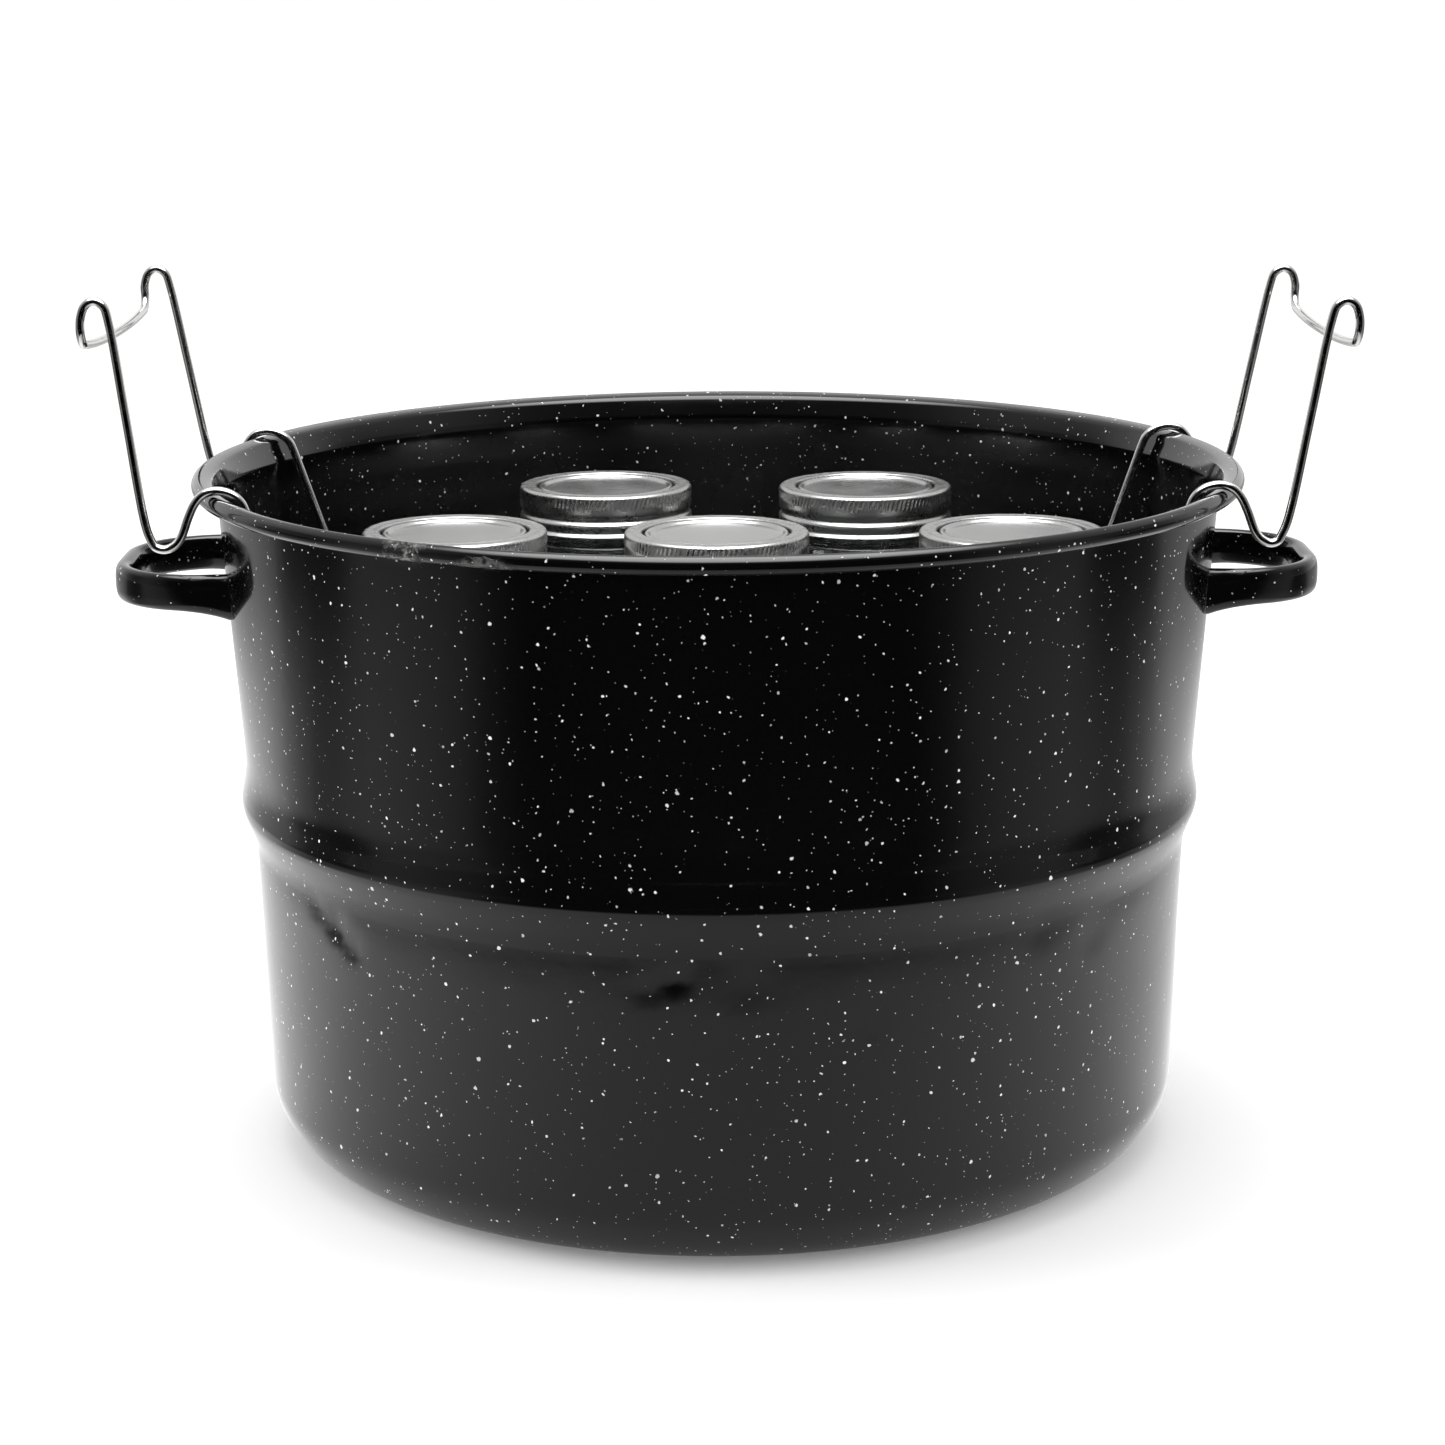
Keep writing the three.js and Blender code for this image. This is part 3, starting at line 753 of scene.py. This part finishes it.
def strand_y(z):
    g = min(max((z - 253.0) / 85.0, 0.0), 1.0)
    return BAIL_HALF + (GRIP_HALF - BAIL_HALF) * g


def bail(side):
    half = []
    eye = 3.95
    for a in np.arange(-290, -19, 15):
        t = math.radians(a)
        half.append((HINGE_X + eye * math.cos(t), BAIL_HALF + 0.0 * a, RACK_Z + eye * math.sin(t)))
    n_eye = len(half)
    leg = [(HINGE_X + 3.72 + f * (178.0 - HINGE_X - 3.72), BAIL_HALF, RACK_Z - 1.33 + f * (265.6 - RACK_Z + 1.33))
           for f in (0.06, 0.2, 0.4, 0.6, 0.8, 0.97)]
    half += leg
    for i, (x, z) in enumerate(STRAND):
        half.append((x, strand_y(z) if i > 9 else BAIL_HALF, z))
    half += [(238.4, GRIP_HALF - 0.9, 329.0), (238.4, GRIP_HALF - 3.6, 326.9), (238.4, GRIP_HALF - 8.0, 326.2),
             (238.4, 35.0, 324.6)]
    other = [(x, -y, z) for x, y, z in half][::-1]
    p = catmull(half + [(238.4, 0.0, 324.0)] + other, sub=5)
    # hand-bent wire: each strand leans a little differently, (front, back)
    low, top, up = SET[side]
    b = np.clip(0.5 + p[:, 1] * side / (2 * GRIP_HALF), 0, 1)
    s = np.clip((p[:, 0] - 207.0) / 7.0, 0, 1)
    h = np.clip((p[:, 2] - 255.0) / 88.0, 0, 1)
    mixed = lambda q: q[0] * (1 - b) + q[1] * b
    p[:, 0] += s * ((1 - h) * mixed(low) + h * mixed(top))
    p[:, 2] += s * h * mixed(up)
    v, f = outward(wire(p, k=14))
    return (spin(v, 180) if side < 0 else v), f


for side, nm in ((-1, "left"), (1, "right")):
    v, f = bail(side)
    add("bail_wire_" + nm, v, f, wire_mat, "bail_" + nm, nodes=("bail_" + nm,), sharp=70)


# ------------------------------------------------------------------ jars
def arc(cx, cz, r, a0, a1, n):
    return [(cx + r * math.cos(math.radians(a0 + (a1 - a0) * k / n)), cz + r * math.sin(math.radians(a0 + (a1 - a0) * k / n)))
            for k in range(n + 1)]


jar_glass = glass_material()
tops = LID_Z


def jar_mesh(phase):
    z0, R = JAR_Z, 47.5
    top = z0 + 171.8
    out = fillet([((0, z0 + 2.2), 0), ((34, z0 + 2.2), 4), ((39.2, z0), 2), ((41.5, z0), 4), ((R, z0 + 4.5), 6),
                  ((R, z0 + 117), 22), ((38.4, z0 + 139.5), 16), ((35.2, z0 + 147.5), 4)], step=10)
    out = [tuple(q) for q in out]
    # transfer bead and thread band
    out += [(35.6, z0 + 148.6), (36.3, z0 + 150.0), (36.3, z0 + 151.6), (35.4, z0 + 152.8), (33.9, z0 + 153.6),
            (33.7, z0 + 156.0), (34.5, z0 + 157.4), (34.5, z0 + 158.6), (33.7, z0 + 159.8), (33.6, z0 + 163.0),
            (34.4, z0 + 164.4), (34.4, z0 + 165.4), (33.6, z0 + 166.6), (33.5, top - 1.6), (32.8, top - 0.4), (31.8, top)]
    inn = fillet([((30.9, top - 0.2), 0), ((30.2, top - 4), 3), ((30.4, z0 + 150), 10), ((35.0, z0 + 138), 14),
                  ((R - 3.2, z0 + 115), 20), ((R - 3.2, z0 + 9), 9), ((38, z0 + 5.2), 8), ((0, z0 + 5.6), 0)], step=10)
    prof = out + [tuple(q) for q in inn]

    def radial(ang, r, z):
        # very slight out-of-round of the mould
        return r + (0.12 * np.cos(2 * ang + phase) if r > 40 else 0.0) * np.ones_like(ang)

    return lathe(prof, n=96, radial=radial, phase=phase)


def band_mesh(phase):
    t, R = tops, 36.75
    n_rib = 116
    prof = []
    prof += [(29.75, t - 1.35), (29.75, t - 0.8), (29.9, t - 0.42), (30.2, t - 0.22), (30.6, t - 0.18), (31.0, t - 0.19),
             (32.5, t - 0.27), (32.9, t - 0.29), (33.3, t - 0.27), (33.7, t - 0.2), (34.2, t - 0.12), (34.6, t - 0.08),
             (35.1, t - 0.08), (35.6, t - 0.18), (36.1, t - 0.42), (36.45, t - 0.76), (R - 0.1, t - 1.2)]
    n_top = len(prof)
    for z in np.linspace(1.45, 5.4, 9):
        prof.append((R, t - float(z)))
    n_knurl = len(prof)
    prof += [(R - 0.12, t - 5.9), (R - 0.08, t - 6.6), (R - 0.05, t - 8.2), (R - 0.22, t - 9.1), (R - 0.75, t - 9.8),
             (R - 1.25, t - 10.4), (R - 1.3, t - 10.9), (R - 0.75, t - 11.5), (R - 0.1, t - 12.1), (R + 0.1, t - 12.9),
             (R + 0.05, t - 13.8), (R - 0.2, t - 14.7), (R - 0.55, t - 15.4), (R - 0.5, t - 15.9), (R - 0.05, t - 16.4),
             (R + 0.55, t - 16.8), (37.7, t - 17.1), (37.65, t - 17.45), (37.1, t - 17.5)]
    inn = [(36.4, t - 17.1), (36.0, t - 16.2), (35.3, t - 14.0), (35.1, t - 10.5), (35.5, t - 8.0), (35.6, t - 1.6),
           (35.2, t - 1.1), (30.2, t - 1.3)]
    prof += inn

    def radial(ang, r, z):
        dz = t - z
        if r >= R - 0.15 and 1.3 < dz < 5.6:
            env = math.sin(math.pi * min(max((dz - 1.2) / 4.4, 0), 1)) ** 0.45
            return r - 0.42 * env * (0.5 + 0.5 * np.cos(n_rib * ang + 0.9 * dz)) ** 1.3
        return np.full(len(ang), r)

    return lathe(prof, n=n_rib * 6, closed=True, radial=radial, phase=phase)


def lid_mesh(phase):
    t = tops
    top = [(33.9, t - 2.1), (31.2, t - 2.1), (29.2, t - 2.1), (28.7, t - 1.95), (28.55, t - 1.2), (28.3, t - 0.7),
           (27.8, t - 0.5), (27.3, t - 0.55), (26.85, t - 0.85), (26.55, t - 1.2), (26.25, t - 1.45), (25.9, t - 1.56),
           (25.5, t - 1.6), (24.0, t - 1.61), (20.0, t - 1.63), (10.0, t - 1.68), (0.0, t - 1.7)]
    prof = [(0.0, t - 2.05), (26.0, t - 1.95), (27.6, t - 1.2), (28.3, t - 2.3), (31.0, t - 2.55), (33.6, t - 2.55),
            (34.0, t - 2.3)] + top
    return lathe(prof, n=128, phase=phase)


for k, (x, y) in JARS.items():
    ph = float(RNG.uniform(0, 2 * math.pi))
    v, f = jar_mesh(ph)
    add("quart_jar_%d" % k, v + np.array([x, y, 0]), f, jar_glass, "jar_%d" % k,
        nodes=("jar_%d_glass" % k,), sharp=50)
    v, f = outward(lid_mesh(ph))
    add("lid_disc_%d" % k, v + np.array([x, y, 0]), f, tinplate_material("lid_tinplate_%d" % k, ph, (0.2, 0.26), (0.52, 0.58), 0.75),
        "lid_%d" % k, nodes=("jar_%d_lid" % k,), sharp=60)
    v, f = outward(band_mesh(ph))
    add("screw_band_%d" % k, v + np.array([x, y, 0]), f, tinplate_material("band_tinplate_%d" % k, ph + 1.0, (0.25, 0.31), (0.52, 0.58), 0.68),
        "band_%d" % k, nodes=("jar_%d_band" % k,), sharp=60)


# ------------------------------------------------------------------ stage, light, camera
def plane(name, corners, mat):
    me = bpy.data.meshes.new(name)
    me.from_pydata(corners, [], [tuple(range(len(corners)))])
    me.materials.append(mat)
    ob = bpy.data.objects.new(name, me)
    bpy.context.scene.collection.objects.link(ob)
    return ob


fm, fnt, fb = new_mat("studio_floor")
fb.inputs["Base Color"].default_value = (0.93, 0.93, 0.93, 1)
fb.inputs["Roughness"].default_value = 0.6
fb.inputs["Specular IOR Level"].default_value = 0.0
fb.inputs["Emission Color"].default_value = (1, 1, 1, 1)
fb.inputs["Emission Strength"].default_value = 0.14
plane("studio_floor", [(-9, -9, -0.0004), (9, -9, -0.0004), (9, 9, -0.0004), (-9, 9, -0.0004)], fm)

# painted highlight: strength of a bright overhead patch on the reflection dome, not a lamp
PAINTED_TOP_HIGHLIGHT = 8.0


# hides a painted reflection card from camera, diffuse and shadow rays, so it glows only in reflections
def only_reflected(ob):
    ob.visible_camera = False
    ob.visible_diffuse = False
    ob.visible_shadow = False
    ob.visible_transmission = True


# painted reflection: an emissive card seen only in reflections stands in for the floor as the enamel sees it, bright
# near the pot, a dark room painted in front, grey sides
gm = bpy.data.materials.new("painted_floor_reflection")
gm.use_nodes = True
gt = gm.node_tree
gt.nodes.clear()
g_out = gt.nodes.new("ShaderNodeOutputMaterial")
g_em = gt.nodes.new("ShaderNodeEmission")
gt.links.new(g_em.outputs[0], g_out.inputs["Surface"])
g_co = node(gt, "ShaderNodeTexCoord").outputs["Object"]
g_xyz = node(gt, "ShaderNodeSeparateXYZ")
gt.links.new(g_co, g_xyz.inputs[0])
g_x = math_node(gt, "ABSOLUTE", g_xyz.outputs["X"])
g_az = math_node(gt, "DIVIDE", math_node(gt, "ARCTAN2", g_x, math_node(gt, "MULTIPLY", g_xyz.outputs["Y"], -1.0)), math.pi)
g_len = node(gt, "ShaderNodeVectorMath", operation="LENGTH")
gt.links.new(g_co, g_len.inputs[0])
g_r = g_len.outputs["Value"]


def ramp(nt, value, stops):
    n = nt.nodes.new("ShaderNodeFloatCurve")
    c = n.mapping.curves[0]
    n.mapping.use_clip = False
    pts = [(deg / 180.0, lum / 2.0) for deg, lum in stops]
    while len(c.points) < len(pts):
        c.points.new(0.5, 0.5)
    for q, (a, b) in zip(c.points, pts):
        q.location = (a, b)
        q.handle_type = "AUTO_CLAMPED"
    n.mapping.update()
    nt.links.new(value, n.inputs["Value"])
    return math_node(nt, "MULTIPLY", n.outputs[0], 2.0)


g_in = ramp(gt, g_az, [(0, 0.60), (14, 0.62), (30, 0.72), (45, 0.86), (60, 1.05), (75, 1.2), (90, 1.38), (105, 1.4),
                       (120, 1.32), (150, 1.1), (180, 0.95)])
g_side = ramp(gt, g_az, [(0, 0.0), (36, 0.0), (45, 0.06), (54, 0.25), (63, 0.36), (75, 0.42), (84, 0.34), (93, 0.25),
                         (100, 0.36), (108, 0.62), (116, 0.95), (125, 1.1), (180, 1.1)])
g_drop = ramp(gt, g_az, [(0, 0.3), (60, 0.3), (78, 0.3), (90, 0.8), (104, 0.8), (116, 0.5), (130, 0.5), (180, 0.4)])
g_far = smooth_range(gt, g_r, 0.65, 1.12)
g_fade = math_node(gt, "SUBTRACT", 1.0, math_node(gt, "MULTIPLY", g_far, g_drop))
g_side = math_node(gt, "MULTIPLY", g_side, g_fade)
g_edge = smooth_range(gt, g_r, 0.425, 0.545)
g_mix = node(gt, "ShaderNodeMix", data_type="FLOAT")
gt.links.new(g_edge, g_mix.inputs["Factor"])
gt.links.new(g_in, g_mix.inputs["A"])
gt.links.new(g_side, g_mix.inputs["B"])
# painted light: the reflected floor is brighter towards -X and darker towards +X
g_painted_side_light = smooth_range(gt, g_xyz.outputs["X"], -0.35, 0.35, 1.06, 0.88)
# painted contact shadow: the reflected floor is darkened close to the base of the pot
g_painted_contact_shadow = smooth_range(gt, g_r, 0.156, 0.19, 0.03, 1.0)
gt.links.new(math_node(gt, "MULTIPLY", math_node(gt, "MULTIPLY", g_mix.outputs["Result"], g_painted_side_light), g_painted_contact_shadow),
             g_em.inputs["Strength"])
# painted reflection: an emissive dome seen only in reflections stands in for the room above the floor line, dark in
# front, grey sides, white behind, a painted soft light overhead
sm_ = bpy.data.materials.new("painted_room_reflection")
sm_.use_nodes = True
st_ = sm_.node_tree
st_.nodes.clear()
s_out = st_.nodes.new("ShaderNodeOutputMaterial")
s_em = st_.nodes.new("ShaderNodeEmission")
st_.links.new(s_em.outputs[0], s_out.inputs["Surface"])
s_nrm = node(st_, "ShaderNodeVectorMath", operation="NORMALIZE")
st_.links.new(node(st_, "ShaderNodeTexCoord").outputs["Object"], s_nrm.inputs[0])
s_xyz = node(st_, "ShaderNodeSeparateXYZ")
st_.links.new(s_nrm.outputs[0], s_xyz.inputs[0])
s_az = math_node(st_, "DIVIDE", math_node(st_, "ARCTAN2", math_node(st_, "ABSOLUTE", s_xyz.outputs["X"]),
                                         math_node(st_, "MULTIPLY", s_xyz.outputs["Y"], -1.0)), math.pi)
s_low = ramp(st_, s_az, [(0, 0.0), (40, 0.0), (60, 0.16), (78, 0.26), (92, 0.16), (104, 0.25), (118, 0.7), (135, 1.0),
                         (180, 1.0)])
s_high = ramp(st_, s_az, [(0, 0.06), (45, 0.1), (75, 0.4), (105, 0.7), (135, 0.8), (180, 0.8)])
s_up = smooth_range(st_, s_xyz.outputs["Z"], 0.30, 0.55)
s_mix = node(st_, "ShaderNodeMix", data_type="FLOAT")
st_.links.new(s_up, s_mix.inputs["Factor"])
st_.links.new(s_low, s_mix.inputs["A"])
st_.links.new(s_high, s_mix.inputs["B"])
s_dot = node(st_, "ShaderNodeVectorMath", operation="DOT_PRODUCT")
st_.links.new(s_nrm.outputs[0], s_dot.inputs[0])
s_dot.inputs[1].default_value = (0.0, -0.17, 0.985)
# painted highlight: the dome glows brightly just overhead, so rims, ridges and wires show it in reflections
s_painted_top_highlight = smooth_range(st_, s_dot.outputs["Value"], 0.743, 0.97, 0.0, PAINTED_TOP_HIGHLIGHT)
st_.links.new(math_node(st_, "ADD", s_mix.outputs["Result"], s_painted_top_highlight), s_em.inputs["Strength"])
n_seg, rad_s, sv, sf = 96, 4.2, [], []
levels = [math.radians(e) for e in range(0, 90, 6)]
for e in levels:
    sv += [(rad_s * math.cos(e) * math.cos(2 * math.pi * i / n_seg), rad_s * math.cos(e) * math.sin(2 * math.pi * i / n_seg),
            rad_s * math.sin(e) + 0.002) for i in range(n_seg)]
sv.append((0.0, 0.0, rad_s + 0.002))
for q in range(len(levels) - 1):
    sf += [(q * n_seg + i, q * n_seg + (i + 1) % n_seg, (q + 1) * n_seg + (i + 1) % n_seg, (q + 1) * n_seg + i)
           for i in range(n_seg)]
sf += [((len(levels) - 1) * n_seg + i, (len(levels) - 1) * n_seg + (i + 1) % n_seg, len(sv) - 1) for i in range(n_seg)]
sme = bpy.data.meshes.new("painted_room_reflection")
sme.from_pydata(sv, [], sf)
sme.materials.append(sm_)
room = bpy.data.objects.new("painted_room_reflection", sme)
bpy.context.scene.collection.objects.link(room)
only_reflected(room)
room.visible_transmission = False

# painted reflection card: it glows but lights nothing and shows only in reflections
glow = plane("painted_floor_reflection", [(-4, -4, 0.001), (4, -4, 0.001), (4, 4, 0.001), (-4, 4, 0.001)], gm)
only_reflected(glow)
glow.visible_transmission = False

world = bpy.data.worlds.new("studio_world")
bpy.context.scene.world = world
world.use_nodes = True
bg = world.node_tree.nodes["Background"]
bg.inputs["Color"].default_value = (1, 1, 1, 1)
bg.inputs["Strength"].default_value = 1.0


def area(name, loc, target, size, energy, size_y=None):
    li = bpy.data.lights.new(name, "AREA")
    li.shape = "RECTANGLE"
    li.size = size
    li.size_y = size_y or size
    li.energy = energy
    ob = bpy.data.objects.new(name, li)
    bpy.context.scene.collection.objects.link(ob)
    ob.location = loc
    d = Vector(target) - Vector(loc)
    ob.rotation_euler = d.to_track_quat("-Z", "Y").to_euler()
    return ob


for side_light in (area("softbox_left", (-1.7, -0.1, 0.75), (0, 0, 0.15), 1.0, 14, 1.4),
                   area("softbox_right", (1.9, -0.3, 0.85), (0, 0, 0.15), 0.9, 9, 1.3)):
    side_light.visible_glossy = False
top_light = area("softbox_top", (0.0, 0.35, 2.0), (0, 0, 0.2), 1.6, 14)
top_light.visible_glossy = False

cam = bpy.data.cameras.new("camera")
cam.sensor_width = 36.0
cam.lens = 3448.6 / 1445.0 * 36.0
cam.shift_x = (722.5 - 719.3) / 1445.0
cam.shift_y = (723.7 - 722.5) / 1445.0
cam.clip_start = 0.05
cam.clip_end = 60
camera = bpy.data.objects.new("camera", cam)
bpy.context.scene.collection.objects.link(camera)
camera.location = (0.0, -1.35925, 0.48706)
camera.rotation_euler = (Euler((math.pi / 2 - 0.233, 0, 0)).to_matrix()
                         @ Euler((0, 0, math.radians(-0.35))).to_matrix()).to_euler()
bpy.context.scene.camera = camera
bpy.context.scene.view_settings.view_transform = "Standard"
